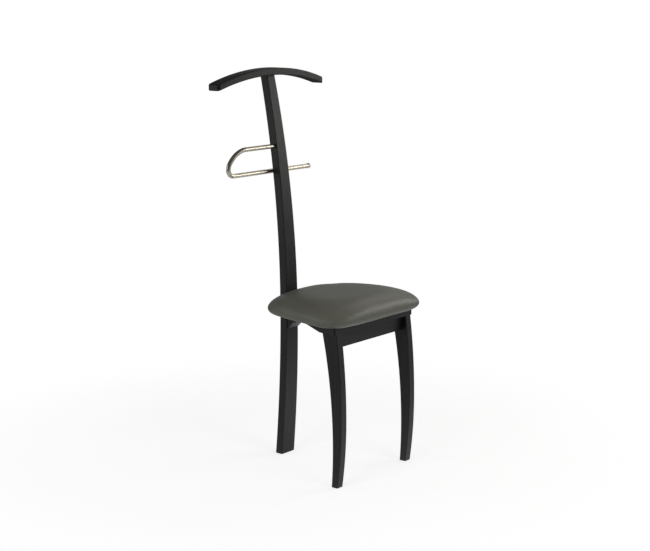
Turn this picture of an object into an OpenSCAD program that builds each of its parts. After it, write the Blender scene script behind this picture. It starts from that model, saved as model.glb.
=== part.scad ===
// Clothes valet chair. Two bowed front legs and a bowed rear post carry a small
// upholstered seat. The post runs on up to a coat hanger, and below the hanger
// a bent trouser bar swings on a bush in the post.
// Millimetres. +Z is up and the sitter faces -Y. The origin is on the floor,
// under the middle of the whole chair.

/* [Overall] */
// Height of the hanger's crown above the floor
total_h = 1050; // [960:5:1120]
// Front edge of the front feet to the back of the post's foot
stance_d = 322; // [290:1:350]
// Outer face to outer face of the front legs
stance_w = 316; // [290:1:340]
// Height of the legs' tops, where the seat panel lies
seat_frame_h = 402; // [380:1:430]
// Radius worked along the long edges of the wood
edge_r = 1.5; // [1:0.25:3]

/* [Front legs] */
// Thickness of a leg, seen from the front
leg_t = 22; // [18:0.5:24]
// Front-to-back size of a leg on the floor
leg_foot_d = 18.9; // [17.5:0.1:24]
// Height at which a leg's front edge stands farthest forward
leg_front_belly_z = 172; // [140:1:200]
// Radius of the front edge below that height
leg_front_low_r = 1158; // [1000:1:1400]
// Radius of the front edge above that height
leg_front_high_r = 1650; // [1500:1:2200]
// Height at which a leg's back edge stands farthest forward
leg_back_belly_z = 98; // [80:1:120]
// Radius of a leg's back edge
leg_back_r = 1380; // [1200:1:1700]

/* [Rear post] */
// Width of the post on the floor, seen from the front
post_foot_w = 51.2; // [47:0.1:56]
// Width of the post under the hanger
post_top_w = 29.8; // [27:0.1:32]
// How straight the post's taper is: 1 is a straight taper, 0 a full curve
post_taper_line = 0.31; // [0:0.01:1]
// Front-to-back size of the post on the floor
post_foot_d = 23; // [21:0.1:26]
// Front-to-back size of the post under the hanger
post_top_d = 25; // [24:0.1:28]
// Height at which the post's front face stands farthest forward
post_belly_z = 384; // [350:1:420]
// Radius of the post's front face below that height
post_low_r = 4175; // [3500:5:5500]
// Radius of the post's front face above that height
post_high_r = 2961; // [2700:1:3600]

/* [Front rail] */
// Height of the rail
rail_h = 39; // [34:1:44]
// Thickness of the rail
rail_t = 18; // [16:0.5:20]
// Rail's front face behind the legs' front edges
rail_setback = 16; // [12:0.5:18]

/* [Seat panel] */
// Thickness of the panel
panel_t = 20; // [18:0.5:22]
// How far the panel stands out past each leg's outer face
panel_side_lip = 8; // [3:0.5:10]
// Length of the panel's nearly straight sides, before they turn in to the post
panel_side_run = 57; // [45:1:70]
// How much the panel narrows on each side along those sides
panel_side_draw = 9.5; // [0:0.5:12]
// Radius of the panel's corners
panel_corner_r = 4; // [2:0.5:8]

/* [Cushion] */
// Nominal width of the cushion's front edge
cushion_front_w = 413; // [380:1:425]
// Nominal width of the cushion's back edge
cushion_back_w = 295; // [250:1:310]
// How square the cushion's outline is at its widest: 2 is an ellipse
cushion_square = 5.5; // [4:0.25:8]
// How square its outline becomes towards the crown
cushion_crown_square = 2; // [2:0.25:4]
// How far the cushion stands out in front of the seat panel
cushion_front_lip = 32; // [15:0.5:35]
// Gap between the cushion and the post
cushion_post_gap = 9; // [4:0.5:18]
// Height of the crown above the seat panel
cushion_crown_h = 56.5; // [45:0.5:75]
// Middle of the crown behind the cushion's front edge
cushion_crown_back = 106; // [95:1:150]
// Height of the widest line above the seat panel
cushion_edge_h = 14.5; // [10.5:0.5:18]
// How far the cover tucks in under the widest line
cushion_tuck = 11.5; // [6:0.5:13]
// Thickness of the cover
cover_t = 1.2; // [0.8:0.1:2]
// Thickness of the plywood in the cushion
base_t = 9; // [8:0.5:10]

/* [Coat hanger] */
// Width of the hanger, tip to tip
hanger_w = 423; // [380:1:450]
// Front-to-back size of the hanger
hanger_d = 39.6; // [36:0.2:44]
// Thickness at the middle
hanger_t = 19; // [17:0.2:24]
// Thickness at the ends
hanger_end_t = 16.6; // [12:0.2:18]
// Radius of the hanger's upper face
hanger_arc_r = 670; // [600:5:900]
// Radius worked along the hanger's edges
hanger_edge_r = 3; // [2:0.5:5]
// How far the hanger stands forward of the post's middle
hanger_forward = 6.4; // [0:0.2:6.6]
// How far the hanger's ends sweep back
hanger_sweep = 6; // [0:0.5:12]

/* [Trouser bar] */
// Diameter of the bar
bar_d = 12; // [10.5:0.5:12]
// Height of the bar's pivot above the floor
bar_pivot_z = 845; // [800:1:880]
// Pivot behind the post's front face
bar_pivot_setback = 12.3; // [11:0.1:13]
// Post's centre line to the middle of the bar, at the bar's closed side
bar_reach_left = 189; // [165:1:210]
// Post's centre line to the middle of the ball
bar_reach_right = 136; // [110:1:160]
// Radius of the upper bend, on the bar's centre line
bar_upper_bend_r = 67; // [60:1:95]
// Radius of the lower bend, on the bar's centre line
bar_lower_bend_r = 22; // [14:1:24]
// Angle that the bar turns through in the upper bend
bar_upper_turn = 60; // [50:1:70]
// Straight run between the two bends
bar_side_run = 1; // [0.5:0.5:20]
// Diameter of the ball at the bar's free end
ball_d = 14.5; // [14:0.5:18]
// Length of bar held in the ball
ball_grip = 8; // [6:0.5:8]

/* [Fits] */
// Radial clearance of the bar in its bush
running_fit = 0.05; // [0.02:0.01:0.1]
// Radial clearance of dowels, screws and the bush in their holes
seat_fit = 0.05; // [0.02:0.01:0.1]
// Gap between the resting trouser bar and the post
rest_gap = 0.3; // [0.2:0.05:0.6]
// Gap between the cover, the foam and the plywood
pad_gap = 0.3; // [0.2:0.05:0.5]

/* [Hardware] */
// Diameter of the dowels
dowel_d = 8; // [6:0.5:8]
// Length of the leg, rail and hanger dowels that lies in the deeper hole
dowel_long_half = 20; // [16:0.5:22]
// Length of those dowels that lies in the shallower hole
dowel_short_half = 12; // [8:0.5:13]
// Outer diameter of the pivot's bush
bush_d = 15; // [14.5:0.1:15.5]
// Length of the bush
bush_len = 24; // [18:0.5:26]
// Diameter of the set screw that keeps the bar in its bush
set_screw_d = 4; // [3:0.5:5]
// Depth at which the set screw lies below the post's back face
set_screw_sink = 0.5; // [0.2:0.1:1]
// Diameter of the two bolts that hold the seat panel to the post
bolt_d = 6; // [5:0.5:7]
// Length of the bolts under the head
bolt_len = 70; // [62:1:80]
// Diameter of the bolts' heads
bolt_head_d = 10; // [9:0.5:11]
// Height of the bolts' heads
bolt_head_h = 6; // [5:0.5:7]
// Depth at which the heads sit below the post's back face
bolt_head_sink = 1; // [0.5:0.25:2]
// Distance between the two bolts
bolt_pitch = 22; // [18:0.5:24]
// Diameter of the barrel nuts
barrel_nut_d = 10; // [9:0.5:12]
// Length of the barrel nuts
barrel_nut_len = 14; // [12:0.5:15]
// Diameter of the wood screws
screw_d = 4; // [3.5:0.1:4.5]
// Diameter of the screws' heads
screw_head_d = 8; // [7:0.25:9]
// Height of the screws' heads
screw_head_h = 2.4; // [2:0.1:3]
// Width of the wedge block in the corner of post and seat panel
wedge_w = 43; // [36:1:43]
// Height of the wedge block, and its length under the panel
wedge_leg = 45; // [40:1:55]
// Thickness of the wedge block's blunt ends
wedge_blunt = 3; // [1:0.5:6]
// Wood between a wedge block screw's head and what the block lies on
wedge_screw_seat = 12; // [10:0.5:13]
// Length of a glue block along the rail
block_w = 32; // [28:1:40]
// Height of a glue block
block_h = 28; // [24:1:32]
// Glue block's back face in front of the leg's back edge
block_inset = 1; // [0.5:0.25:3]
// Diameter of the glides let into the feet
glide_d = 15; // [12:0.5:15]
// Thickness of the glides
glide_t = 3; // [2:0.25:4]
// How far the glides stand out under the wood
glide_proud = 0.8; // [0.4:0.1:1.5]

/* [Hidden] */
$fn = 48;

frame_black = "#2b2a29";
cover_grey = "#5c5b53";
foam_cream = "#e8dcae";
plywood_tan = "#c7a578";
beech_tan = "#cfa878";
satin_nickel = "#b8b1a4";
zinc_grey = "#a3a6a8";
nylon_black = "#1c1c1c";

corner_steps = 3;
foot_chamfer = 0.8;
// How far a cut runs on past the face that it breaks through
over = 1;

// How far an arc of radius r falls away over a run d from its belly
function rise(d, r) = r - sqrt(r * r - d * d);
function mix(a, b, t) = a + (b - a) * t;
function unit(v) = v / norm(v);
function levels(low, high, steps) = [for (i = [0:steps]) mix(low, high, i / steps)];

post_h = total_h - hanger_t;

// Front-to-back places measured from the middle of the stance
leg_belly_from_stance = -stance_d / 2 - rise(leg_front_belly_z, leg_front_low_r);
leg_back_belly_from_stance = -stance_d / 2 + leg_foot_d - rise(leg_back_belly_z, leg_back_r);
post_belly_from_stance = stance_d / 2 - post_foot_d - rise(post_belly_z, post_low_r);
leg_top_from_stance = leg_belly_from_stance
    + rise(seat_frame_h - leg_front_belly_z, leg_front_high_r);
hanger_from_stance = post_belly_from_stance + rise(post_h - post_belly_z, post_high_r)
    + post_top_d / 2 - hanger_forward;

// The chair's foremost and rearmost points put the origin midway between them
foremost = leg_top_from_stance - cushion_front_lip;
rearmost = hanger_from_stance + hanger_d / 2 + hanger_sweep;
stance_y = -(foremost + rearmost) / 2;

// Front and back of a leg, and of the post, at height z
function leg_front_y(z) = stance_y + leg_belly_from_stance
    + rise(z - leg_front_belly_z, z < leg_front_belly_z ? leg_front_low_r : leg_front_high_r);
function leg_back_y(z) = stance_y + leg_back_belly_from_stance
    + rise(z - leg_back_belly_z, leg_back_r);
function leg_mid_y(z) = (leg_front_y(z) + leg_back_y(z)) / 2;
function post_front_y(z) = stance_y + post_belly_from_stance
    + rise(z - post_belly_z, z < post_belly_z ? post_low_r : post_high_r);
function post_depth(z) = mix(post_foot_d, post_top_d, z / post_h);
function post_back_y(z) = post_front_y(z) + post_depth(z);
function post_mid_y(z) = post_front_y(z) + post_depth(z) / 2;
function post_width(z) = let (u = z / post_h)
    mix(post_foot_w, post_top_w, post_taper_line * u + (1 - post_taper_line) * u * u);

leg_x = stance_w / 2 - leg_t / 2;
leg_inner_x = stance_w / 2 - leg_t;

rail_mid_z = seat_frame_h - rail_h / 2;
rail_front_y = leg_front_y(rail_mid_z) + rail_setback;
rail_mid_y = rail_front_y + rail_t / 2;
rail_back_y = rail_front_y + rail_t;
rail_dowel_pitch = rail_h / 2;
leg_dowel_pitch = 3 * dowel_d;

panel_top_z = seat_frame_h + panel_t;
panel_mid_z = seat_frame_h + panel_t / 2;
panel_front_y = leg_front_y(seat_frame_h);
panel_nose_y = post_front_y(seat_frame_h);
panel_front_w = stance_w + 2 * panel_side_lip;
panel_nose_w = post_width(panel_top_z);

block_back_y = leg_back_y(seat_frame_h - block_h) - block_inset;
block_d = block_back_y - rail_back_y;
block_chamfer = block_d / 2;
// How far the block screws bite into the panel and into the rail
block_up_bite = 12;
block_rail_bite = 11;
// The two screws of a block, each a share of its length in from the leg
block_up_screw_x = leg_inner_x - block_w * 0.31;
block_rail_screw_x = leg_inner_x - block_w * 0.75;
block_up_screw_len = block_h + block_up_bite;
block_rail_screw_len = block_d + block_rail_bite;

wedge_back_y = post_front_y(post_belly_z);
// Screws through the wedge block: two into the post, and one into the panel between them
wedge_bite = 14;
wedge_screw_x = wedge_w * 0.29;
wedge_screw_out = wedge_leg * 0.6;
wedge_screw_z = seat_frame_h - wedge_screw_out;
wedge_screw_y = wedge_back_y - wedge_screw_out;
wedge_screw_len = wedge_screw_seat + wedge_bite;

cushion_front_y = panel_front_y - cushion_front_lip;
cushion_back_y = post_front_y(panel_top_z) - cushion_post_gap;
cushion_mid_y = (cushion_front_y + cushion_back_y) / 2;
cushion_len = cushion_back_y - cushion_front_y;
cushion_crown_y = cushion_front_y + cushion_crown_back;
cushion_widest_z = panel_top_z + cushion_edge_h;
// Fullness of the cushion's section, along it and up it: 2 is an ellipse
cushion_flat = 5.8;
cushion_full = 2.1;
cushion_sides = 56;

// Screws that hold the cushion down: in from the legs, and back from the panel's edges
seat_screw_side_in = 32;
seat_screw_front_in = 42;
seat_screw_back_x = panel_nose_w;
seat_screw_back_in = 97;
seat_screw_short = 3;
seat_screw_front = [leg_inner_x - seat_screw_side_in, panel_front_y + seat_screw_front_in];
seat_screw_back = [seat_screw_back_x, panel_nose_y - seat_screw_back_in];
seat_screw_len = panel_t + base_t - seat_screw_short;

// The bolts' threads run this far past the barrel nuts
bolt_past_nut = 2;
bolt_seat_y = post_back_y(panel_mid_z) - bolt_head_sink - bolt_head_h;
bolt_tip_y = bolt_seat_y - bolt_len;
barrel_nut_y = bolt_tip_y + barrel_nut_d / 2 + bolt_past_nut;

bar_pivot_y = post_front_y(bar_pivot_z) + bar_pivot_setback;
bar_drop = bar_upper_bend_r * (1 - cos(bar_upper_turn)) + bar_side_run * sin(bar_upper_turn)
    + bar_lower_bend_r * (1 + cos(bar_upper_turn));
// The bush lies just under the post's side, and the bar ends just inside the bush
bush_sunk = 0.3;
bar_end_short = 0.5;
bush_out_x = -post_width(bar_pivot_z) / 2 + bush_sunk;
bush_in_x = bush_out_x + bush_len;
bar_in_x = bush_in_x - bar_end_short;
// The bar is turned true from the relief just inside the bush
journal_x = bush_out_x + 0.6;
relief_w = 0.4;
bar_sides = 32;
bend_steps = 14;
// The groove near the bar's end, and the tip of the set screw that runs in it
groove_w = 3;
groove_depth = 1;
groove_in = 5;
groove_x = bush_in_x - groove_in;
set_tip_d = 2;
set_tip_gap = 0.15;
set_body_gap = 0.1;
set_tip_y = bar_pivot_y + bar_d / 2 - groove_depth + set_tip_gap;
set_body_y = bar_pivot_y + bush_d / 2 + set_body_gap;
set_screw_len = post_back_y(bar_pivot_z) - set_screw_sink - set_body_y;

// The bar hangs against the post's back face, so its lean from the plumb line
// is settled step by step from where that face is beside the lower arm
function bar_contact_y(z) = post_back_y(z)
    + (bar_d / 2 + rest_gap) / cos(asin((z - post_belly_z) / post_high_r));
function bar_lean(a, steps) = steps == 0 ? a
    : bar_lean(asin((bar_contact_y(bar_pivot_z - bar_drop * cos(a)) - bar_pivot_y) / bar_drop),
        steps - 1);
bar_lean_angle = bar_lean(10, 6);

hanger_y = stance_y + hanger_from_stance;
// The ends are rounded in plan, and eased this share as much on top and underneath
hanger_end_round = 8;
hanger_end_ease = 0.2;
// Wood left outside the hanger dowels, and their depths above and below the joint
hanger_dowel_wall = 2.5;
hanger_dowel_y = post_mid_y(post_h);
hanger_dowel_pitch = post_top_w - dowel_d - 2 * hanger_dowel_wall;
hanger_dowel_up = hanger_t * 0.55;
hanger_dowel_down = 22;

glide_nail_d = 2.5;
glide_nail_len = 12;
glide_bevel = 0.6;
post_glide_wall = 2;
post_glide_x = post_foot_w / 2 - glide_d / 2 - post_glide_wall;

// A w by d rectangle with round corners, anticlockwise
function round_rect(w, d, r) = [for (q = [0:3], k = [0:corner_steps])
    let (a = 90 * (q + k / corner_steps))
    [(q == 0 || q == 3 ? 1 : -1) * (w / 2 - r) + r * cos(a),
        (q < 2 ? 1 : -1) * (d / 2 - r) + r * sin(a)]];

// The arc of radius r that rounds corner p between its neighbours a and b
function corner_arc(a, p, b, r) =
    let (u = unit(a - p), v = unit(b - p), half = acos(u * v) / 2)
    let (c = p + unit(u + v) * r / sin(half), s = p + u * r / tan(half) - c)
    let (e = p + v * r / tan(half) - c, first = atan2(s.y, s.x))
    let (sweep = (atan2(e.y, e.x) - first + 540) % 360 - 180)
    [for (k = [0:corner_steps + 1])
        let (t = first + sweep * k / (corner_steps + 1)) c + r * [cos(t), sin(t)]];

// A solid through a row of rings, each anticlockwise seen from the last one
module loft(rings) {
    n = len(rings[0]);
    m = len(rings);
    sides = [for (i = [0:m - 2], j = [0:n - 1])
        let (a = i * n + j, b = i * n + (j + 1) % n)
        each [[a, a + n, b + n], [a, b + n, b]]];
    first = [for (j = [0:n - 1]) j];
    last = [for (j = [n - 1:-1:0]) (m - 1) * n + j];
    polyhedron([for (ring = rings) each ring], concat([first], sides, [last]), convexity = 4);
}

function upright_ring(w, front, back, x, z, inset) =
    [for (p = round_rect(w - 2 * inset, back - front - 2 * inset, edge_r))
        [x + p.x, (front + back) / 2 + p.y, z]];

function post_ring(z, inset = 0) =
    upright_ring(post_width(z), post_front_y(z), post_back_y(z), 0, z, inset);
function leg_ring(side, z, inset = 0) =
    upright_ring(leg_t, leg_front_y(z), leg_back_y(z), side * leg_x, z, inset);

module along_x(x, y, z) { translate([x, y, z]) rotate([0, 90, 0]) children(); }
module along_y(x, y, z) { translate([x, y, z]) rotate([-90, 0, 0]) children(); }
module both_sides() {
    children();
    mirror([1, 0, 0]) children();
}

// A hole that takes a pin of diameter d and length h, both with the seat fit
module hole(d, h) { cylinder(d = d + 2 * seat_fit, h = h + 2 * seat_fit); }

// The recess and nail hole that take a glide in a foot
module glide_seat() {
    cylinder(d = glide_d + 2 * seat_fit, h = glide_t);
    hole(glide_nail_d, glide_nail_len);
}

// A pan-head wood screw that points up from the face under its head
module screw(len) {
    translate([0, 0, -screw_head_h])
        cylinder(d1 = screw_head_d * 0.7, d2 = screw_head_d, h = screw_head_h);
    cylinder(d = screw_d, h = len - screw_d / 2);
    translate([0, 0, len - screw_d / 2]) cylinder(d1 = screw_d, d2 = 1, h = screw_d / 2);
}

// ---- Rear post ----
module rear_post() {
    color(frame_black) difference() {
        loft(concat([post_ring(glide_proud, foot_chamfer)],
            [for (z = levels(glide_proud + foot_chamfer, post_h, 40)) post_ring(z)]));
        along_x(-post_foot_w, bar_pivot_y, bar_pivot_z) hole(bush_d, post_foot_w + bush_in_x);
        along_y(groove_x, bar_pivot_y, bar_pivot_z) hole(set_screw_d, post_foot_w);
        both_sides() {
            along_y(bolt_pitch / 2, panel_nose_y - post_foot_d, panel_mid_z)
                hole(bolt_d, 3 * post_foot_d);
            along_y(bolt_pitch / 2, bolt_seat_y, panel_mid_z) hole(bolt_head_d, 3 * post_foot_d);
            along_y(wedge_screw_x, wedge_back_y - over, wedge_screw_z)
                hole(screw_d, wedge_bite + over);
            translate([hanger_dowel_pitch / 2, hanger_dowel_y, post_h - hanger_dowel_down - seat_fit])
                hole(dowel_d, hanger_dowel_down + over);
            translate([post_glide_x, post_mid_y(0), 0]) glide_seat();
        }
    }
}

// ---- Front legs ----
module front_leg(side) {
    difference() {
        loft(concat([leg_ring(side, glide_proud, foot_chamfer)],
            [for (z = levels(glide_proud + foot_chamfer, seat_frame_h, 24)) leg_ring(side, z)]));
        for (step = [-0.5, 0.5]) {
            translate([side * leg_x, leg_mid_y(seat_frame_h) + step * leg_dowel_pitch,
                seat_frame_h - dowel_long_half - seat_fit])
                hole(dowel_d, dowel_long_half + over);
            along_x(side * leg_inner_x - dowel_short_half - seat_fit, rail_mid_y,
                rail_mid_z + step * rail_dowel_pitch)
                hole(dowel_d, 2 * dowel_short_half);
        }
        translate([side * leg_x, leg_mid_y(0), 0]) glide_seat();
    }
}

module front_leg_left() { color(frame_black) front_leg(-1); }
module front_leg_right() { color(frame_black) front_leg(1); }

// ---- Front rail and its glue blocks ----
module front_rail() {
    color(frame_black) difference() {
        translate([0, rail_mid_y, rail_mid_z]) rotate([90, 0, 90])
            linear_extrude(height = 2 * leg_inner_x, center = true)
                polygon(round_rect(rail_t, rail_h, edge_r / 2));
        both_sides() {
            for (step = [-0.5, 0.5])
                along_x(leg_inner_x - dowel_long_half - seat_fit, rail_mid_y,
                    rail_mid_z + step * rail_dowel_pitch)
                    hole(dowel_d, dowel_long_half + over);
            along_y(block_rail_screw_x, block_back_y - block_rail_screw_len - seat_fit,
                seat_frame_h - block_h / 2)
                hole(screw_d, block_rail_screw_len);
        }
    }
}

module glue_block() {
    difference() {
        translate([0, 0, seat_frame_h - block_h]) linear_extrude(height = block_h)
            polygon([[leg_inner_x, rail_back_y], [leg_inner_x, block_back_y],
                [leg_inner_x - block_w + block_chamfer, block_back_y],
                [leg_inner_x - block_w, block_back_y - block_chamfer],
                [leg_inner_x - block_w, rail_back_y]]);
        translate([block_up_screw_x, (rail_back_y + block_back_y) / 2, seat_frame_h - block_h - over])
            hole(screw_d, block_h + 2 * over);
        along_y(block_rail_screw_x, rail_back_y - over, seat_frame_h - block_h / 2)
            hole(screw_d, block_d + 2 * over);
    }
}

module glue_block_left() { color(beech_tan) mirror([1, 0, 0]) glue_block(); }
module glue_block_right() { color(beech_tan) glue_block(); }

// ---- Seat panel ----
module seat_panel() {
    side_y = panel_front_y + panel_side_run;
    half_front = panel_front_w / 2;
    half_side = half_front - panel_side_draw;
    half_nose = panel_nose_w / 2;
    outline = concat(
        corner_arc([half_nose, panel_nose_y], [half_side, side_y], [half_front, panel_front_y],
            3 * panel_corner_r),
        corner_arc([half_side, side_y], [half_front, panel_front_y], [-half_front, panel_front_y],
            panel_corner_r),
        corner_arc([half_front, panel_front_y], [-half_front, panel_front_y], [-half_side, side_y],
            panel_corner_r),
        corner_arc([-half_front, panel_front_y], [-half_side, side_y], [-half_nose, panel_nose_y],
            3 * panel_corner_r),
        [[-half_nose, panel_nose_y], [half_nose, panel_nose_y]]);
    color(frame_black) difference() {
        translate([0, 0, seat_frame_h]) linear_extrude(height = panel_t) polygon(outline);
        both_sides() {
            for (step = [-0.5, 0.5])
                translate([leg_x, leg_mid_y(seat_frame_h) + step * leg_dowel_pitch,
                    seat_frame_h - over])
                    hole(dowel_d, dowel_short_half + over);
            for (place = [seat_screw_front, seat_screw_back]) {
                translate([place.x, place.y, seat_frame_h - over])
                    hole(screw_d, panel_t + 2 * over);
                translate([place.x, place.y, seat_frame_h - over])
                    hole(screw_head_d, screw_head_h + over);
            }
            translate([block_up_screw_x, (rail_back_y + block_back_y) / 2, seat_frame_h - over])
                hole(screw_d, block_up_screw_len - block_h + over);
            along_y(bolt_pitch / 2, bolt_tip_y - seat_fit, panel_mid_z)
                hole(bolt_d, panel_nose_y - bolt_tip_y + over);
            translate([bolt_pitch / 2, barrel_nut_y, seat_frame_h - over])
                hole(barrel_nut_d, barrel_nut_len + (panel_t - barrel_nut_len) / 2 + over);
        }
        translate([0, wedge_screw_y, seat_frame_h - over]) hole(screw_d, wedge_bite + over);
    }
}

// ---- Wedge block under the panel, against the post ----
module seat_wedge_block() {
    low_z = seat_frame_h - wedge_leg;
    far_y = wedge_back_y - wedge_leg;
    color(frame_black) difference() {
        rotate([90, 0, 90]) linear_extrude(height = wedge_w, center = true)
            polygon([[wedge_back_y, seat_frame_h], [far_y, seat_frame_h],
                [far_y, seat_frame_h - wedge_blunt], [wedge_back_y - wedge_blunt, low_z],
                [wedge_back_y, low_z]]);
        both_sides() {
            along_y(wedge_screw_x, far_y, wedge_screw_z) hole(screw_d, wedge_leg + over);
            along_y(wedge_screw_x, wedge_back_y - wedge_leg, wedge_screw_z)
                cylinder(d = screw_head_d + 2 * seat_fit, h = wedge_leg - wedge_screw_seat);
        }
        translate([0, wedge_screw_y, low_z]) hole(screw_d, wedge_leg + over);
        translate([0, wedge_screw_y, low_z])
            cylinder(d = screw_head_d + 2 * seat_fit, h = wedge_leg - wedge_screw_seat);
    }
}

// ---- Cushion ----
function power(v, e) = sign(v) * pow(abs(v), e);

// A point on the cushion's outline, drawn in by inset and as square as the last value says
function cushion_point(a, inset, square) =
    let (u = power(cos(a), 2 / square), v = power(sin(a), 2 / square))
    let (half_w = mix(cushion_front_w, cushion_back_w, (v + 1) / 2) / 2 - inset)
    [half_w * u, cushion_mid_y + (cushion_len / 2 - inset) * v];
// The outline at height z, scaled by s towards the middle of the crown
function cushion_ring(inset, z, s = 1, square = cushion_square) = [for (k = [0:cushion_sides - 1])
    let (p = cushion_point(360 * k / cushion_sides, inset, square))
    [s * p.x, mix(cushion_crown_y, p.y, s), z]];

// The rings from the widest line over the crown, all set in by inset
function crown_rings(inset) = [for (a = [0, 6, 14, 24, 36, 50, 64, 77, 86])
    cushion_ring(inset,
        cushion_widest_z + (cushion_crown_h - cushion_edge_h - inset) * pow(sin(a), 2 / cushion_full),
        pow(cos(a), 2 / cushion_flat), mix(cushion_square, cushion_crown_square, sin(a)))];
function tuck_rings(inset) = [for (a = [90, 60, 30])
    cushion_ring(inset + cushion_tuck * (1 - cos(a)), cushion_widest_z - cushion_edge_h * sin(a))];
function reversed(list) = [for (i = [len(list) - 1:-1:0]) list[i]];

module seat_cover() {
    inner = concat(tuck_rings(cover_t), crown_rings(cover_t));
    outer = concat(tuck_rings(0), crown_rings(0));
    color(cover_grey) loft(concat(reversed(inner), outer));
}

module seat_foam() {
    inset = cover_t + pad_gap;
    low_z = panel_top_z + base_t + pad_gap;
    // Its low edge keeps the same gap to the straight runs of the cover's side
    low_tuck = lookup(low_z, [for (a = [90, 60, 30, 0])
        [cushion_widest_z - cushion_edge_h * sin(a), cushion_tuck * (1 - cos(a))]]);
    color(foam_cream) loft(concat([cushion_ring(inset + low_tuck, low_z)], crown_rings(inset)));
}

module seat_base() {
    color(plywood_tan) difference() {
        translate([0, 0, panel_top_z]) linear_extrude(height = base_t)
            polygon([for (p = cushion_ring(cushion_tuck + cover_t + pad_gap, 0)) [p.x, p.y]]);
        both_sides() for (place = [seat_screw_front, seat_screw_back])
            translate([place.x, place.y, panel_top_z - over])
                hole(screw_d, seat_screw_len - panel_t + screw_head_h + over);
    }
}

// ---- Coat hanger ----
function hanger_ring(x) =
    let (left = max(0, hanger_end_round - (hanger_w / 2 - abs(x))))
    let (inset = hanger_end_round - sqrt(pow(hanger_end_round, 2) - pow(left, 2)))
    let (t = mix(hanger_t, hanger_end_t, pow(2 * x / hanger_w, 2)) / cos(asin(x / hanger_arc_r)))
    let (mid_z = total_h - rise(x, hanger_arc_r) - t / 2, ease = inset * hanger_end_ease)
    let (r = min(hanger_edge_r, t / 2 - ease - 1))
    [for (p = round_rect(hanger_d - 2 * inset, t - 2 * ease, r))
        [x, hanger_y + hanger_sweep * pow(2 * x / hanger_w, 2) + p.x, mid_z + p.y]];

module coat_hanger() {
    straight = hanger_w / 2 - hanger_end_round;
    tips = [for (a = [20, 40, 60, 78, 90]) straight + hanger_end_round * sin(a)];
    color(frame_black) difference() {
        loft([for (x = concat(-reversed(tips), levels(-straight, straight, 40), tips))
            hanger_ring(x)]);
        // The flat that the post's top beds on
        translate([-post_top_w / 2 - over, hanger_y - hanger_d, post_h - over])
            cube([post_top_w + 2 * over, 2 * hanger_d, over]);
        both_sides()
            translate([hanger_dowel_pitch / 2, hanger_dowel_y, post_h - over])
                hole(dowel_d, hanger_dowel_up + over);
    }
}

// ---- Trouser bar ----
module at_pivot() {
    translate([0, bar_pivot_y, bar_pivot_z]) rotate([bar_lean_angle, 0, 0]) children();
}

// A ring round the bar's centre line where that runs at the angle heading
function bar_ring(x, z, heading) = [for (k = [0:bar_sides - 1])
    let (a = 360 * k / bar_sides)
    [x - bar_d / 2 * sin(a) * sin(heading), bar_d / 2 * cos(a),
        z + bar_d / 2 * sin(a) * cos(heading)]];

// The rings of a bend of radius r about (x, z)
function bend_rings(x, z, from, to, r) = [for (h = levels(from, to, bend_steps))
    bar_ring(x + r * sin(h), z - r * cos(h), h)];

module trouser_bar() {
    lower_x = -bar_reach_left + bar_lower_bend_r;
    lower_z = -bar_drop + bar_lower_bend_r;
    turned = 180 + bar_upper_turn;
    upper_x = lower_x - (bar_lower_bend_r - bar_upper_bend_r) * sin(bar_upper_turn)
        + bar_side_run * cos(bar_upper_turn);
    neck_x = groove_x - groove_w / 2;
    end_x = bar_reach_right - ball_d / 2 + ball_grip;
    core_d = bar_d - 2 * groove_depth;
    color(satin_nickel) at_pivot() {
        loft(concat([bar_ring(journal_x, 0, 180)],
            bend_rings(upper_x, -bar_upper_bend_r, 180, turned, bar_upper_bend_r),
            bend_rings(lower_x, lower_z, turned, 360, bar_lower_bend_r),
            [bar_ring(end_x, -bar_drop, 360)]));
        along_x(journal_x - over, 0, 0) cylinder(d = core_d, h = bar_in_x - journal_x + over);
        along_x(journal_x + relief_w, 0, 0)
            cylinder(d = bar_d, h = neck_x - journal_x - relief_w);
        along_x(neck_x + groove_w, 0, 0) cylinder(d = bar_d, h = bar_in_x - neck_x - groove_w);
    }
}

// A ball turned with its blind bore, both about the bar's axis
module trouser_bar_ball() {
    bore_r = bar_d / 2 + seat_fit;
    color(satin_nickel) at_pivot() along_x(bar_reach_right, 0, -bar_drop)
        rotate_extrude() difference() {
            circle(d = ball_d);
            translate([-ball_d, -ball_d]) square([ball_d, 2 * ball_d]);
            translate([-over, -ball_d]) square([bore_r + over, ball_d / 2 + ball_grip + seat_fit]);
        }
}

module trouser_bar_bush() {
    color(nylon_black) difference() {
        along_x(bush_out_x, bar_pivot_y, bar_pivot_z) cylinder(d = bush_d, h = bush_len);
        along_x(bush_out_x - over, bar_pivot_y, bar_pivot_z)
            cylinder(d = bar_d + 2 * running_fit, h = bush_len + 2 * over);
        along_y(groove_x, bar_pivot_y, bar_pivot_z) hole(set_tip_d, bush_d);
    }
}

module trouser_bar_set_screw() {
    color(zinc_grey) {
        along_y(groove_x, set_tip_y, bar_pivot_z)
            cylinder(d = set_tip_d, h = set_body_y - set_tip_y);
        along_y(groove_x, set_body_y, bar_pivot_z) cylinder(d = set_screw_d, h = set_screw_len);
    }
}

// ---- Dowels ----
module leg_dowels() {
    color(beech_tan) both_sides() for (step = [-0.5, 0.5])
        translate([leg_x, leg_mid_y(seat_frame_h) + step * leg_dowel_pitch,
            seat_frame_h - dowel_long_half])
            cylinder(d = dowel_d, h = dowel_long_half + dowel_short_half);
}

module rail_dowels() {
    color(beech_tan) both_sides() for (step = [-0.5, 0.5])
        along_x(leg_inner_x - dowel_long_half, rail_mid_y, rail_mid_z + step * rail_dowel_pitch)
            cylinder(d = dowel_d, h = dowel_long_half + dowel_short_half);
}

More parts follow.
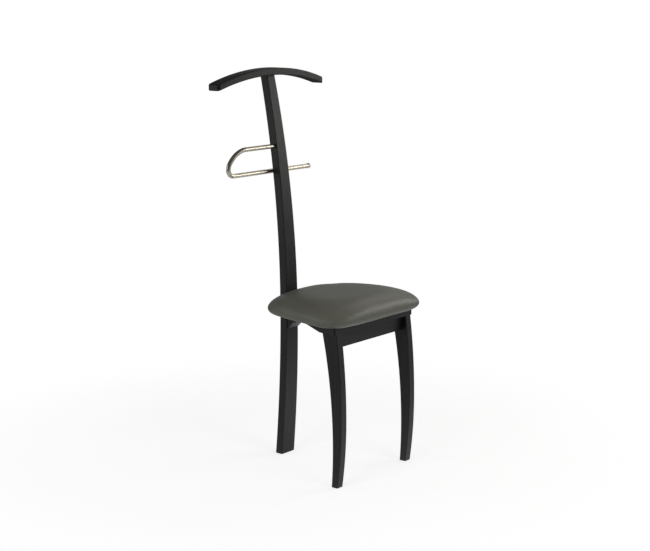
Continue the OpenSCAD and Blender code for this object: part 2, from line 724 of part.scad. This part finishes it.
module hanger_dowels() {
    color(beech_tan) both_sides()
        translate([hanger_dowel_pitch / 2, hanger_dowel_y, post_h - hanger_dowel_down])
            cylinder(d = dowel_d, h = hanger_dowel_down + hanger_dowel_up);
}

// ---- Bolts, nuts, screws and glides ----
module post_bolts() {
    socket_d = bolt_head_d / 2;
    color(zinc_grey) both_sides() {
        along_y(bolt_pitch / 2, bolt_tip_y, panel_mid_z) cylinder(d = bolt_d, h = bolt_len);
        along_y(bolt_pitch / 2, bolt_seat_y, panel_mid_z) difference() {
            cylinder(d = bolt_head_d, h = bolt_head_h);
            translate([0, 0, bolt_head_h / 2]) cylinder(d = socket_d, h = bolt_head_h, $fn = 6);
        }
    }
}

module barrel_nuts() {
    color(zinc_grey) both_sides() difference() {
        translate([bolt_pitch / 2, barrel_nut_y, panel_mid_z - barrel_nut_len / 2])
            cylinder(d = barrel_nut_d, h = barrel_nut_len);
        along_y(bolt_pitch / 2, barrel_nut_y - barrel_nut_d, panel_mid_z)
            hole(bolt_d, 2 * barrel_nut_d);
    }
}

module block_screws() {
    color(zinc_grey) both_sides() {
        translate([block_up_screw_x, (rail_back_y + block_back_y) / 2, seat_frame_h - block_h])
            screw(block_up_screw_len);
        translate([block_rail_screw_x, block_back_y, seat_frame_h - block_h / 2])
            rotate([90, 0, 0]) screw(block_rail_screw_len);
    }
}

module seat_screws() {
    color(zinc_grey) both_sides() for (place = [seat_screw_front, seat_screw_back])
        translate([place.x, place.y, seat_frame_h + screw_head_h]) screw(seat_screw_len);
}

module wedge_screws() {
    color(zinc_grey) {
        both_sides()
            along_y(wedge_screw_x, wedge_back_y - wedge_screw_seat, wedge_screw_z)
                screw(wedge_screw_len);
        translate([0, wedge_screw_y, seat_frame_h - wedge_screw_seat]) screw(wedge_screw_len);
    }
}

module glide() {
    cylinder(d1 = glide_d - 2 * glide_bevel, d2 = glide_d, h = glide_bevel);
    translate([0, 0, glide_bevel]) cylinder(d = glide_d, h = glide_t - glide_bevel);
    translate([0, 0, glide_t / 2]) cylinder(d = glide_nail_d, h = glide_nail_len - glide_t / 2);
}

module foot_glides() {
    color(nylon_black) both_sides() {
        translate([leg_x, leg_mid_y(0), 0]) glide();
        translate([post_glide_x, post_mid_y(0), 0]) glide();
    }
}

rear_post();
front_leg_left();
front_leg_right();
front_rail();
seat_panel();
glue_block_left();
glue_block_right();
seat_wedge_block();
coat_hanger();
trouser_bar();
trouser_bar_ball();
trouser_bar_bush();
trouser_bar_set_screw();
seat_base();
seat_foam();
seat_cover();
leg_dowels();
rail_dowels();
hanger_dowels();
post_bolts();
barrel_nuts();
block_screws();
seat_screws();
wedge_screws();
foot_glides();
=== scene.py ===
import math

import bmesh
import bpy
import numpy as np
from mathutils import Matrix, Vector


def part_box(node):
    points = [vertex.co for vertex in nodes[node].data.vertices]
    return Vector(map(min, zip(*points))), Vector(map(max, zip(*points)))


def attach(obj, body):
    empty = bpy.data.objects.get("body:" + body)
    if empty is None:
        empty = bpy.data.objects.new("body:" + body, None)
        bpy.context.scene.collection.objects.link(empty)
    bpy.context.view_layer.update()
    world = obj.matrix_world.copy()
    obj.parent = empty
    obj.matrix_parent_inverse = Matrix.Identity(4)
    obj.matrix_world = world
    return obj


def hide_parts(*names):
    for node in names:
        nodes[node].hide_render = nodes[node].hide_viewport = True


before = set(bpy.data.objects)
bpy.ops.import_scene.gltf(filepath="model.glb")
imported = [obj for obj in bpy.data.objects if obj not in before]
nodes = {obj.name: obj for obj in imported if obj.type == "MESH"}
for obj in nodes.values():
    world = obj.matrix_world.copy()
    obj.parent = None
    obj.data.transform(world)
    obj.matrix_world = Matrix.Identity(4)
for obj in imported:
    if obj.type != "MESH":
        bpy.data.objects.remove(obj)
scene = bpy.context.scene
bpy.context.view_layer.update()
print("frame loaded:", len(nodes), "nodes")


def linear(hexColour):
    parts = [int(hexColour[i:i + 2], 16) / 255 for i in (1, 3, 5)]
    return tuple(c / 12.92 if c <= 0.04045 else ((c + 0.055) / 1.055) ** 2.4 for c in parts) + (1,)


def perMetre(millimetres):
    return 1000 / millimetres


def addNode(tree, kind, settings=None, inputs=None, feeds=None):
    # inputs takes plain values or the sockets that come in, feeds the sockets that go out
    node = tree.nodes.new(kind)
    for name, value in (settings or {}).items():
        setattr(node, name, value)
    for name, value in (inputs or {}).items():
        if isinstance(value, bpy.types.NodeSocket):
            tree.links.new(value, node.inputs[name])
        else:
            node.inputs[name].default_value = value
    for name, socket in (feeds or {}).items():
        tree.links.new(node.outputs[name], socket)
    return node


def emptyTree(owner):
    owner.use_nodes = True
    owner.node_tree.nodes.clear()
    return owner.node_tree


def newMaterial(name, surface):
    material = bpy.data.materials.new(name)
    tree = emptyTree(material)
    output = addNode(tree, "ShaderNodeOutputMaterial")
    shader = addNode(tree, "ShaderNodeBsdfPrincipled", None, surface,
                     {"BSDF": output.inputs["Surface"]})
    place = addNode(tree, "ShaderNodeTexCoord").outputs["Object"]
    return material, tree, shader, place


def blendColours(tree, shader, pattern, span, low, high):
    # The span is the part of the pattern over which the low colour turns into the high one
    share = addNode(tree, "ShaderNodeMapRange", None, {
        "Value": pattern, "From Min": span[0], "From Max": span[1]})
    addNode(tree, "ShaderNodeMix", {"data_type": "RGBA"}, {
        0: share.outputs["Result"], 6: linear(low), 7: linear(high)},
        {2: shader.inputs["Base Color"]})


# Widths, lengths and other pattern scales are in millimetres, depths in metres

stain = {
    "dark": "#0f0f0f", "light": "#1f1f1f", "span": (0.35, 0.7),
    "roughness": 0.48, "reflect": 0.30,
    "grainWidth": 4, "grainLength": 120,          # the soft streaks of the long grain
    "poreWidth": 1.2, "poreLength": 12, "poreDepth": 0.00010, "poreStrength": 0.35,
}


def makeStainedWood(axis):
    # Black-stained beech under a satin lacquer: nearly black, with soft streaks along
    # the grain and pores that break up the gloss. Beech's pores are far finer than a
    # pixel here, so they are drawn much wider.
    material, tree, shader, place = newMaterial("blackStainedBeech_" + axis, {
        "Roughness": stain["roughness"], "Specular IOR Level": stain["reflect"]})
    along = "xyz".index(axis)
    grain = [perMetre(stain["grainLength" if i == along else "grainWidth"]) for i in range(3)]
    pore = [perMetre(stain["poreLength" if i == along else "poreWidth"]) for i in range(3)]
    grainPlace = addNode(tree, "ShaderNodeMapping", None, {"Vector": place, "Scale": grain})
    streaks = addNode(tree, "ShaderNodeTexNoise", None, {
        "Vector": grainPlace.outputs[0], "Scale": 1, "Detail": 4, "Roughness": 0.6})
    blendColours(tree, shader, streaks.outputs["Fac"], stain["span"], stain["dark"], stain["light"])
    porePlace = addNode(tree, "ShaderNodeMapping", None, {"Vector": place, "Scale": pore})
    pores = addNode(tree, "ShaderNodeTexNoise", None, {
        "Vector": porePlace.outputs[0], "Scale": 1, "Detail": 3, "Roughness": 0.7})
    addNode(tree, "ShaderNodeBump", None, {
        "Height": pores.outputs["Fac"], "Strength": stain["poreStrength"],
        "Distance": stain["poreDepth"]}, {"Normal": shader.inputs["Normal"]})
    return material


leather = {
    "colour": "#5a5a51", "worn": "#606057", "span": (0.35, 0.75), "patch": 60,
    "roughness": 0.45, "reflect": 0.5,
    "pebble": 1.1, "pebbleDepth": 0.00010, "pebbleStrength": 0.25,
}


def makeLeather():
    # PVC-coated upholstery cloth, embossed: an even grey-green with a soft gloss, which
    # a pebble grain breaks up. The real grain is finer still, and less than a pixel.
    material, tree, shader, place = newMaterial("embossedPvcLeathercloth", {
        "Roughness": leather["roughness"], "Specular IOR Level": leather["reflect"]})
    patches = addNode(tree, "ShaderNodeTexNoise", None, {
        "Vector": place, "Scale": perMetre(leather["patch"]), "Detail": 3, "Roughness": 0.55})
    blendColours(tree, shader, patches.outputs["Fac"], leather["span"],
                 leather["colour"], leather["worn"])
    pebbles = addNode(tree, "ShaderNodeTexVoronoi", {"feature": "DISTANCE_TO_EDGE"}, {
        "Vector": place, "Scale": perMetre(leather["pebble"])})
    addNode(tree, "ShaderNodeBump", None, {
        "Height": pebbles.outputs["Distance"], "Strength": leather["pebbleStrength"],
        "Distance": leather["pebbleDepth"]}, {"Normal": shader.inputs["Normal"]})
    return material


nickel = {"colour": "#cfc8b8", "roughness": 0.31, "dull": 0.36, "wear": 25, "span": (0.35, 0.7)}


def makeSatinNickel():
    # Satin nickel plate on steel bar: warm grey metal, its gloss a little uneven from handling
    material, tree, shader, place = newMaterial("satinNickelPlate", {
        "Metallic": 1.0, "Base Color": linear(nickel["colour"])})
    wear = addNode(tree, "ShaderNodeTexNoise", None, {
        "Vector": place, "Scale": perMetre(nickel["wear"]), "Detail": 2, "Roughness": 0.5})
    addNode(tree, "ShaderNodeMapRange", None, {
        "Value": wear.outputs["Fac"], "From Min": nickel["span"][0], "From Max": nickel["span"][1],
        "To Min": nickel["roughness"], "To Max": nickel["dull"]},
        {"Result": shader.inputs["Roughness"]})
    return material


zinc = {"bright": "#b9bdc0", "dull": "#96999b", "span": (0.3, 0.7), "roughness": 0.36,
        "spangle": 2.5}


def makeZincSteel():
    # Zinc-plated steel: cool grey, a little mottled
    material, tree, shader, place = newMaterial("zincPlatedSteel", {
        "Metallic": 1.0, "Roughness": zinc["roughness"]})
    mottle = addNode(tree, "ShaderNodeTexNoise", None, {
        "Vector": place, "Scale": perMetre(zinc["spangle"]), "Detail": 2, "Roughness": 0.5})
    blendColours(tree, shader, mottle.outputs["Fac"], zinc["span"], zinc["dull"], zinc["bright"])
    return material


nylon = {"colour": "#161616", "roughness": 0.55, "grit": 0.4, "gritDepth": 0.00003,
         "gritStrength": 0.3}


def makeBlackNylon():
    # Moulded black nylon: matt, with the fine spark texture of its mould
    material, tree, shader, place = newMaterial("mouldedBlackNylon", {
        "Roughness": nylon["roughness"], "Base Color": linear(nylon["colour"])})
    grit = addNode(tree, "ShaderNodeTexNoise", None, {
        "Vector": place, "Scale": perMetre(nylon["grit"]), "Detail": 2, "Roughness": 0.6})
    addNode(tree, "ShaderNodeBump", None, {
        "Height": grit.outputs["Fac"], "Strength": nylon["gritStrength"],
        "Distance": nylon["gritDepth"]}, {"Normal": shader.inputs["Normal"]})
    return material


beech = {"light": "#cba67a", "dark": "#b38a5c", "span": (0.3, 0.65), "roughness": 0.6,
         "fleckWidth": 6, "fleckLength": 30}


def makePlainBeech():
    # Planed beech left bare: pinkish tan with short darker flecks along the grain
    material, tree, shader, place = newMaterial("planedBeech", {"Roughness": beech["roughness"]})
    fleck = [perMetre(beech[side]) for side in ("fleckLength", "fleckWidth", "fleckWidth")]
    fleckPlace = addNode(tree, "ShaderNodeMapping", None, {"Vector": place, "Scale": fleck})
    flecks = addNode(tree, "ShaderNodeTexNoise", None, {
        "Vector": fleckPlace.outputs[0], "Scale": 1, "Detail": 4, "Roughness": 0.6})
    blendColours(tree, shader, flecks.outputs["Fac"], beech["span"], beech["dark"], beech["light"])
    return material


ply = {"light": "#cdae80", "dark": "#8f6b42", "span": (0.15, 0.4), "roughness": 0.65,
       "veneer": 5.92}


def makePlywood():
    # Birch plywood: pale faces, and dark glue lines between the veneers on its edges.
    # Real veneers of 1.5 mm are finer than a pixel here, so they are drawn thicker.
    bandsPerUnit = 20 / math.tau                  # fixed in the wave texture
    material, tree, shader, place = newMaterial("birchPlywood", {"Roughness": ply["roughness"]})
    layers = addNode(tree, "ShaderNodeTexWave", {"wave_type": "BANDS", "bands_direction": "Z"}, {
        "Vector": place, "Scale": perMetre(ply["veneer"]) / bandsPerUnit, "Distortion": 0.4,
        "Detail": 2})
    blendColours(tree, shader, layers.outputs["Fac"], ply["span"], ply["dark"], ply["light"])
    return material


foam = {"colour": "#e3d7a6", "roughness": 0.95, "reflect": 0.2, "cell": 1.2,
        "cellDepth": 0.0004, "cellStrength": 0.6}


def makeFoam():
    # Cut polyurethane foam: open cells that scatter light
    material, tree, shader, place = newMaterial("cutPolyurethaneFoam", {
        "Roughness": foam["roughness"], "Base Color": linear(foam["colour"]),
        "Specular IOR Level": foam["reflect"]})
    cells = addNode(tree, "ShaderNodeTexVoronoi", None, {
        "Vector": place, "Scale": perMetre(foam["cell"])})
    addNode(tree, "ShaderNodeBump", None, {
        "Height": cells.outputs["Distance"], "Strength": foam["cellStrength"],
        "Distance": foam["cellDepth"]}, {"Normal": shader.inputs["Normal"]})
    return material


woodUpright = makeStainedWood("z")
woodAcross = makeStainedWood("x")
woodDeep = makeStainedWood("y")
leatherMaterial = makeLeather()
satinNickel = makeSatinNickel()
zincSteel = makeZincSteel()
blackNylon = makeBlackNylon()
plainBeech = makePlainBeech()
plywood = makePlywood()
foamMaterial = makeFoam()

finishes = {
    "rear_post": woodUpright, "front_leg_left": woodUpright, "front_leg_right": woodUpright,
    "front_rail": woodAcross, "coat_hanger": woodAcross, "seat_panel": woodDeep,
    "seat_wedge_block": woodAcross, "glue_block_left": plainBeech, "glue_block_right": plainBeech,
    "leg_dowels": plainBeech, "rail_dowels": plainBeech, "hanger_dowels": plainBeech,
    "seat_base": plywood, "seat_foam": foamMaterial, "seat_cover": leatherMaterial,
    "trouser_bar": satinNickel, "trouser_bar_ball": satinNickel,
    "trouser_bar_bush": blackNylon, "foot_glides": blackNylon,
    "trouser_bar_set_screw": zincSteel, "post_bolts": zincSteel, "barrel_nuts": zincSteel,
    "block_screws": zincSteel, "seat_screws": zincSteel, "wedge_screws": zincSteel,
}
for name, material in finishes.items():
    mesh = nodes[name].data
    mesh.materials.clear()
    mesh.materials.append(material)
print("materials set on the frame's nodes")


shading = {
    "round": ("trouser_bar", "trouser_bar_ball", "trouser_bar_bush"),
    "softAngle": 32,                              # edges flatter than this many degrees look round
    "weld": 0.00001,                              # points nearer than this share one normal
}


def makeRoundShading():
    # Even shading over the bent bar, its ball and its bush; it moves no point
    group = bpy.data.node_groups.new("roundShading", "GeometryNodeTree")
    for way in ("INPUT", "OUTPUT"):
        group.interface.new_socket("Geometry", in_out=way, socket_type="NodeSocketGeometry")
    start = addNode(group, "NodeGroupInput")
    plain = addNode(group, "GeometryNodeRemoveAttribute", None, {
        "Geometry": start.outputs[0], "Name": "custom_normal"})
    welded = addNode(group, "GeometryNodeMergeByDistance", None, {
        "Geometry": plain.outputs[0], "Distance": shading["weld"]})
    faces = addNode(group, "GeometryNodeSetShadeSmooth", {"domain": "FACE"}, {
        "Geometry": welded.outputs[0], "Shade Smooth": True})
    angle = addNode(group, "GeometryNodeInputMeshEdgeAngle")
    soft = addNode(group, "FunctionNodeCompare", {
        "data_type": "FLOAT", "operation": "LESS_EQUAL"}, {
        0: angle.outputs["Unsigned Angle"], 1: math.radians(shading["softAngle"])})
    edges = addNode(group, "GeometryNodeSetShadeSmooth", {"domain": "EDGE"}, {
        "Geometry": faces.outputs[0], "Shade Smooth": soft.outputs[0]})
    addNode(group, "NodeGroupOutput", None, {0: edges.outputs[0]})
    return group


roundShading = makeRoundShading()
for name in shading["round"]:
    nodes[name].modifiers.new("roundShading", "NODES").node_group = roundShading
print("round shading set")


cushion = {
    "frontWidth": 0.413, "backWidth": 0.295,      # nominal widths of the outline, as in the source
    "square": 5.5, "crownSquare": 2.0,            # how square the outline is at the edge and on top
    "flat": 5.8, "full": 2.1,                     # fullness of the section, across and upward
    "edgeHeight": 0.0145, "tuck": 0.0115,         # the widest place, and how far the foot pulls in
    "crownBack": 0.106,                           # the highest place, behind the front
    "sides": 240, "lowRings": 6,                  # points in a ring, rings below the widest place
    "topRings": 60, "topAngle": 89.8,             # rings above it, and the last one's degrees
    "voxel": 0.0045,                              # the even mesh that the cloth works on
}
swelling = {
    "frames": 20, "pressure": 4.0, "quality": 5, "mass": 0.3, "stretch": 40, "bend": 8,
    "heldHeight": 0.003,                          # the lowest points, which stay on the seat panel
    "cap": 0.0010,                                # the farthest that a point may move
    "evenings": 16,
}
coverLow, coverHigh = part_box("seat_cover")


def signedPower(value, exponent):
    return math.copysign(abs(value) ** exponent, value)


def cushionPoint(turn, inset, square, scale):
    u = signedPower(math.cos(turn), 2 / square)
    v = signedPower(math.sin(turn), 2 / square)
    halfLength = (coverHigh.y - coverLow.y) / 2 - inset
    taper = cushion["backWidth"] - cushion["frontWidth"]
    halfWidth = (cushion["frontWidth"] + taper * (v + 1) / 2) / 2
    y = (coverLow.y + coverHigh.y) / 2 + halfLength * v
    crown = coverLow.y + cushion["crownBack"]
    return scale * (halfWidth - inset) * u, crown + scale * (y - crown)


def cushionShell():
    # Rings of points from the foot up to the widest place, and from there to the crown
    sides = cushion["sides"]
    widest = coverLow.z + cushion["edgeHeight"]
    rise = coverHigh.z - widest
    rings = []
    for step in range(cushion["lowRings"], 0, -1):
        angle = math.radians(90 * step / cushion["lowRings"])
        rings.append((cushion["tuck"] * (1 - math.cos(angle)), cushion["square"], 1,
                      widest - cushion["edgeHeight"] * math.sin(angle)))
    for step in range(cushion["topRings"]):
        angle = math.radians(cushion["topAngle"] * step / (cushion["topRings"] - 1))
        rounding = (cushion["crownSquare"] - cushion["square"]) * math.sin(angle)
        rings.append((0, cushion["square"] + rounding, math.cos(angle) ** (2 / cushion["flat"]),
                      widest + rise * math.sin(angle) ** (2 / cushion["full"])))
    shell = bmesh.new()
    rows = []
    for inset, square, scale, z in rings:
        rows.append([shell.verts.new((*cushionPoint(math.tau * k / sides, inset, square, scale), z))
                     for k in range(sides)])
    for low, high in zip(rows, rows[1:]):
        for k in range(sides):
            after = (k + 1) % sides
            shell.faces.new((low[k], low[after], high[after], high[k]))
    shell.faces.new(rows[-1])
    shell.faces.new(list(reversed(rows[0])))
    mesh = bpy.data.meshes.new("cushion")
    shell.to_mesh(mesh)
    shell.free()
    return mesh


def applyModifiers(obj):
    evaluated = obj.evaluated_get(bpy.context.evaluated_depsgraph_get())
    mesh = bpy.data.meshes.new_from_object(evaluated)
    obj.modifiers.clear()
    old = obj.data
    obj.data = mesh
    bpy.data.meshes.remove(old)


def points(mesh):
    flat = np.zeros(len(mesh.vertices) * 3)
    mesh.vertices.foreach_get("co", flat)
    return flat.reshape(-1, 3)


def inflate(obj):
    held = obj.vertex_groups.new(name="held")
    start = points(obj.data)
    low = coverLow.z + swelling["heldHeight"]
    held.add([i for i, p in enumerate(start) if p[2] < low], 1.0, "REPLACE")
    cloth = obj.modifiers.new("cloth", "CLOTH")
    settings = cloth.settings
    settings.quality = swelling["quality"]
    settings.mass = swelling["mass"]
    settings.tension_stiffness = settings.compression_stiffness = swelling["stretch"]
    settings.bending_stiffness = swelling["bend"]
    settings.use_pressure = True
    settings.uniform_pressure_force = swelling["pressure"]
    settings.effector_weights.gravity = 0
    settings.vertex_group_mass = "held"
    cloth.collision_settings.use_collision = False
    cloth.point_cache.frame_start = 1
    cloth.point_cache.frame_end = swelling["frames"]
    for number in range(1, swelling["frames"] + 1):
        scene.frame_set(number)
    applyModifiers(obj)
    scene.frame_set(1)
    obj.vertex_groups.clear()
    moved = points(obj.data) - start
    length = np.linalg.norm(moved, axis=1, keepdims=True)
    moved *= np.minimum(1, swelling["cap"] / np.maximum(length, 1e-9))
    # A taut cover has no small folds, so the swelling is evened out between neighbours
    ends = np.zeros(len(obj.data.edges) * 2, dtype=int)
    obj.data.edges.foreach_get("vertices", ends)
    ends = ends.reshape(-1, 2)
    share = np.bincount(ends.ravel(), minlength=len(start))[:, None] + 1.0
    for _ in range(swelling["evenings"]):
        total = moved.copy()
        np.add.at(total, ends[:, 0], moved[ends[:, 1]])
        np.add.at(total, ends[:, 1], moved[ends[:, 0]])
        moved = total / share
    obj.data.vertices.foreach_set("co", (start + moved).ravel())
    obj.data.update()
    print("cushion inflated, largest move %.1f mm before the cap" % (length.max() * 1000))


cushionPiece = bpy.data.objects.new("seat_cushion", cushionShell())
scene.collection.objects.link(cushionPiece)
remesh = cushionPiece.modifiers.new("remesh", "REMESH")
remesh.mode = "VOXEL"
remesh.voxel_size = cushion["voxel"]
applyModifiers(cushionPiece)
inflate(cushionPiece)
smoother = cushionPiece.modifiers.new("subdivision", "SUBSURF")
smoother.levels = smoother.render_levels = 1
applyModifiers(cushionPiece)
cushionPiece.data.materials.append(leatherMaterial)
for polygon in cushionPiece.data.polygons:
    polygon.use_smooth = True
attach(cushionPiece, "frame")
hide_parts("seat_cover", "seat_foam")
print("cushion made:", len(cushionPiece.data.vertices), "points")


board = {
    "colour": "#a2a2a2", "half": 12.0,
    "lift": 0.74,                                 # glow added for the eye near the object
    "whiteFrom": 0.45, "whiteTo": 1.3,            # metres from the middle, where white begins
    # nearLeft and nearRight paint a pool of the right lamp's light on the near floor, seen by gloss
    "nearLeft": 0.38, "nearRight": 0.95,          # glow added for gloss near the object
    "leftTo": -0.40, "rightFrom": 0.25,           # X - Y in metres, from left back to right front
    # farBeyond paints shade on the far floor before and behind, seen by gloss
    "farBeside": 0.58, "farBeyond": 0.05,         # glow for gloss far out
    "besideTo": 0.8, "beyondFrom": 1.8,           # X + Y in metres, before the object or behind
}


def makeFloor():
    # Matt light grey studio board. The eye sees it lifted to nearly white, with its shadow,
    # and plain white farther out. Gloss sees a painted glow on it: a painted pool of the
    # right lamp's light on that side, and painted shade far before and behind, which keeps
    # the black wood's undersides black.
    shape = bmesh.new()
    corners = [(x * board["half"], y * board["half"], 0)
               for x, y in ((-1, -1), (1, -1), (1, 1), (-1, 1))]
    shape.faces.new([shape.verts.new(corner) for corner in corners])
    mesh = bpy.data.meshes.new("floor")
    shape.to_mesh(mesh)
    shape.free()
    floor = bpy.data.objects.new("floor", mesh)
    scene.collection.objects.link(floor)

    material = bpy.data.materials.new("mattStudioBoard")
    tree = emptyTree(material)
    output = addNode(tree, "ShaderNodeOutputMaterial")
    path = addNode(tree, "ShaderNodeLightPath")
    place = addNode(tree, "ShaderNodeNewGeometry").outputs["Position"]
    parts = addNode(tree, "ShaderNodeSeparateXYZ", None, {0: place})

    across = addNode(tree, "ShaderNodeMath", {"operation": "SUBTRACT"}, {
        0: parts.outputs["X"], 1: parts.outputs["Y"]})
    # Painted pool of the right lamp's light, seen by gloss only
    paintedLampPool = addNode(tree, "ShaderNodeMapRange", None, {
        "Value": across.outputs[0], "From Min": board["leftTo"], "From Max": board["rightFrom"],
        "To Min": board["nearLeft"], "To Max": board["nearRight"]})
    liftByEye = addNode(tree, "ShaderNodeMath", {"operation": "MULTIPLY"}, {
        0: path.outputs["Is Camera Ray"], 1: board["lift"]})
    liftAmount = addNode(tree, "ShaderNodeMath", {"operation": "MULTIPLY_ADD"}, {
        0: path.outputs["Is Glossy Ray"], 1: paintedLampPool.outputs["Result"],
        2: liftByEye.outputs[0]})
    matt = addNode(tree, "ShaderNodeBsdfDiffuse", None, {"Color": linear(board["colour"])})
    lift = addNode(tree, "ShaderNodeEmission", None, {
        "Color": (1, 1, 1, 1), "Strength": liftAmount.outputs[0]})
    near = addNode(tree, "ShaderNodeAddShader", None, {0: matt.outputs[0], 1: lift.outputs[0]})

    along = addNode(tree, "ShaderNodeMath", {"operation": "ADD"}, {
        0: parts.outputs["X"], 1: parts.outputs["Y"]})
    away = addNode(tree, "ShaderNodeMath", {"operation": "ABSOLUTE"}, {0: along.outputs[0]})
    # Painted shade far before and behind, and a paler glow beside, seen by gloss only
    paintedFarGlowAndShade = addNode(tree, "ShaderNodeMapRange", None, {
        "Value": away.outputs[0], "From Min": board["besideTo"], "From Max": board["beyondFrom"],
        "To Min": board["farBeside"], "To Max": board["farBeyond"]})
    glowAmount = addNode(tree, "ShaderNodeMapRange", None, {
        "Value": path.outputs["Is Glossy Ray"], "To Min": 1.0,
        "To Max": paintedFarGlowAndShade.outputs["Result"]})
    glow = addNode(tree, "ShaderNodeEmission", None, {
        "Color": (1, 1, 1, 1), "Strength": glowAmount.outputs["Result"]})

    seen = addNode(tree, "ShaderNodeMath", {"operation": "MAXIMUM"}, {
        0: path.outputs["Is Camera Ray"], 1: path.outputs["Is Glossy Ray"]})
    distance = addNode(tree, "ShaderNodeVectorMath", {"operation": "LENGTH"}, {"Vector": place})
    far = addNode(tree, "ShaderNodeMapRange", {"interpolation_type": "SMOOTHSTEP"}, {
        "Value": distance.outputs["Value"], "From Min": board["whiteFrom"],
        "From Max": board["whiteTo"]})
    amount = addNode(tree, "ShaderNodeMath", {"operation": "MULTIPLY"}, {
        0: seen.outputs[0], 1: far.outputs["Result"]})
    addNode(tree, "ShaderNodeMixShader", None, {
        0: amount.outputs[0], 1: near.outputs[0], 2: glow.outputs[0]},
        {0: output.inputs["Surface"]})
    mesh.materials.append(material)


room = {
    "ambient": 0.24,                              # light from all round on matt surfaces
    "walls": 0.56, "backWall": 0.16,              # what gloss sees at the horizon
    "backFrom": 0.65, "backTo": 0.9,              # the direction's Y, where the back wall starts
    "frontShare": 0.15,                           # how much of that is left behind the camera
    "frontTo": -1.2, "frontFrom": -0.5,           # the direction's X + Y there
    "ceiling": 0.08,                              # what gloss sees overhead
    "ceilingFrom": 0.05, "ceilingTo": 0.55,       # the direction's Z, from the horizon up
}


def makeWorld():
    # White behind the object for the eye, and a dim even light on matt surfaces. Gloss
    # sees pale walls on the left and right, dark ones behind the object and behind the
    # camera, and a nearly black ceiling, which leaves the wood's arrises dark.
    world = bpy.data.worlds.new("studio")
    scene.world = world
    tree = emptyTree(world)
    output = addNode(tree, "ShaderNodeOutputWorld")
    path = addNode(tree, "ShaderNodeLightPath")
    through = addNode(tree, "ShaderNodeMath", {"operation": "MAXIMUM"}, {
        0: path.outputs["Is Camera Ray"], 1: path.outputs["Is Transmission Ray"]})
    plain = addNode(tree, "ShaderNodeMapRange", None, {
        "Value": through.outputs[0], "To Min": room["ambient"], "To Max": 1.0})
    direction = addNode(tree, "ShaderNodeTexCoord").outputs["Generated"]
    parts = addNode(tree, "ShaderNodeSeparateXYZ", None, {0: direction})
    walls = addNode(tree, "ShaderNodeMapRange", None, {
        "Value": parts.outputs["Y"], "From Min": room["backFrom"], "From Max": room["backTo"],
        "To Min": room["walls"], "To Max": room["backWall"]})
    along = addNode(tree, "ShaderNodeMath", {"operation": "ADD"}, {
        0: parts.outputs["X"], 1: parts.outputs["Y"]})
    front = addNode(tree, "ShaderNodeMapRange", None, {
        "Value": along.outputs[0], "From Min": room["frontTo"], "From Max": room["frontFrom"],
        "To Min": room["frontShare"]})
    horizon = addNode(tree, "ShaderNodeMath", {"operation": "MULTIPLY"}, {
        0: walls.outputs["Result"], 1: front.outputs["Result"]})
    overhead = addNode(tree, "ShaderNodeMapRange", {"interpolation_type": "SMOOTHSTEP"}, {
        "Value": parts.outputs["Z"], "From Min": room["ceilingFrom"],
        "From Max": room["ceilingTo"], "To Min": horizon.outputs[0], "To Max": room["ceiling"]})
    strength = addNode(tree, "ShaderNodeMix", None, {
        0: path.outputs["Is Glossy Ray"], 2: plain.outputs["Result"],
        3: overhead.outputs["Result"]})
    addNode(tree, "ShaderNodeBackground", None, {
        "Color": (1, 1, 1, 1), "Strength": strength.outputs[0]}, {0: output.inputs["Surface"]})


# Gloss doesn't see the two fills, which would stand as bright spots on the cushion
softboxes = {
    "softboxFront": {"place": (-0.48, -2.7, 1.4), "aim": (0, 0, 0.55), "size": (1.3, 1.0),
                     "watts": 20, "inGloss": False},
    "softboxRight": {"place": (2.25, -1.41, 1.31), "aim": (0, 0, 0.6), "size": (1.5, 0.75),
                     "watts": 18, "colour": "#fffdf9"},
    "softboxBack": {"place": (2.28, 0.1, 2.2), "aim": (0, 0, 0.6), "size": (2.2, 1.2),
                    "watts": 9, "colour": "#fffdf9"},
    "softboxSide": {"place": (-2.05, 1.79, 0.85), "aim": (0, 0, 0.6), "size": (1.4, 1.0),
                    "watts": 7},
    "softboxLeft": {"place": (-2.5, -0.3, 1.75), "aim": (0, 0, 0.6), "size": (1.3, 1.2),
                    "watts": 24, "inGloss": False},
}


def makeSoftbox(name, place, aim, size, watts, colour="#ffffff", inGloss=True):
    light = bpy.data.lights.new(name, "AREA")
    light.shape = "RECTANGLE"
    light.size, light.size_y = size
    light.energy = watts
    light.color = linear(colour)[:3]
    lamp = bpy.data.objects.new(name, light)
    lamp.location = place
    lamp.visible_glossy = inGloss
    lamp.rotation_euler = (Vector(aim) - Vector(place)).to_track_quat("-Z", "Y").to_euler()
    scene.collection.objects.link(lamp)


makeFloor()
makeWorld()
for name, values in softboxes.items():
    makeSoftbox(name, **values)
print("floor and lights set")

lens = {
    "focal": 84.66, "sensor": 36.0, "place": (-3.0783, -2.5042, 1.2729),
    "pitch": 90 - 10.87, "heading": -50.98,       # degrees; a pitch of 90 is level
}
cameraData = bpy.data.cameras.new("camera")
cameraData.lens = lens["focal"]
cameraData.sensor_width = lens["sensor"]
camera = bpy.data.objects.new("camera", cameraData)
camera.location = lens["place"]
camera.rotation_euler = (math.radians(lens["pitch"]), 0, math.radians(lens["heading"]))
scene.collection.objects.link(camera)
scene.camera = camera
scene.view_settings.view_transform = "Standard"
print("camera set")

bpy.context.view_layer.update()
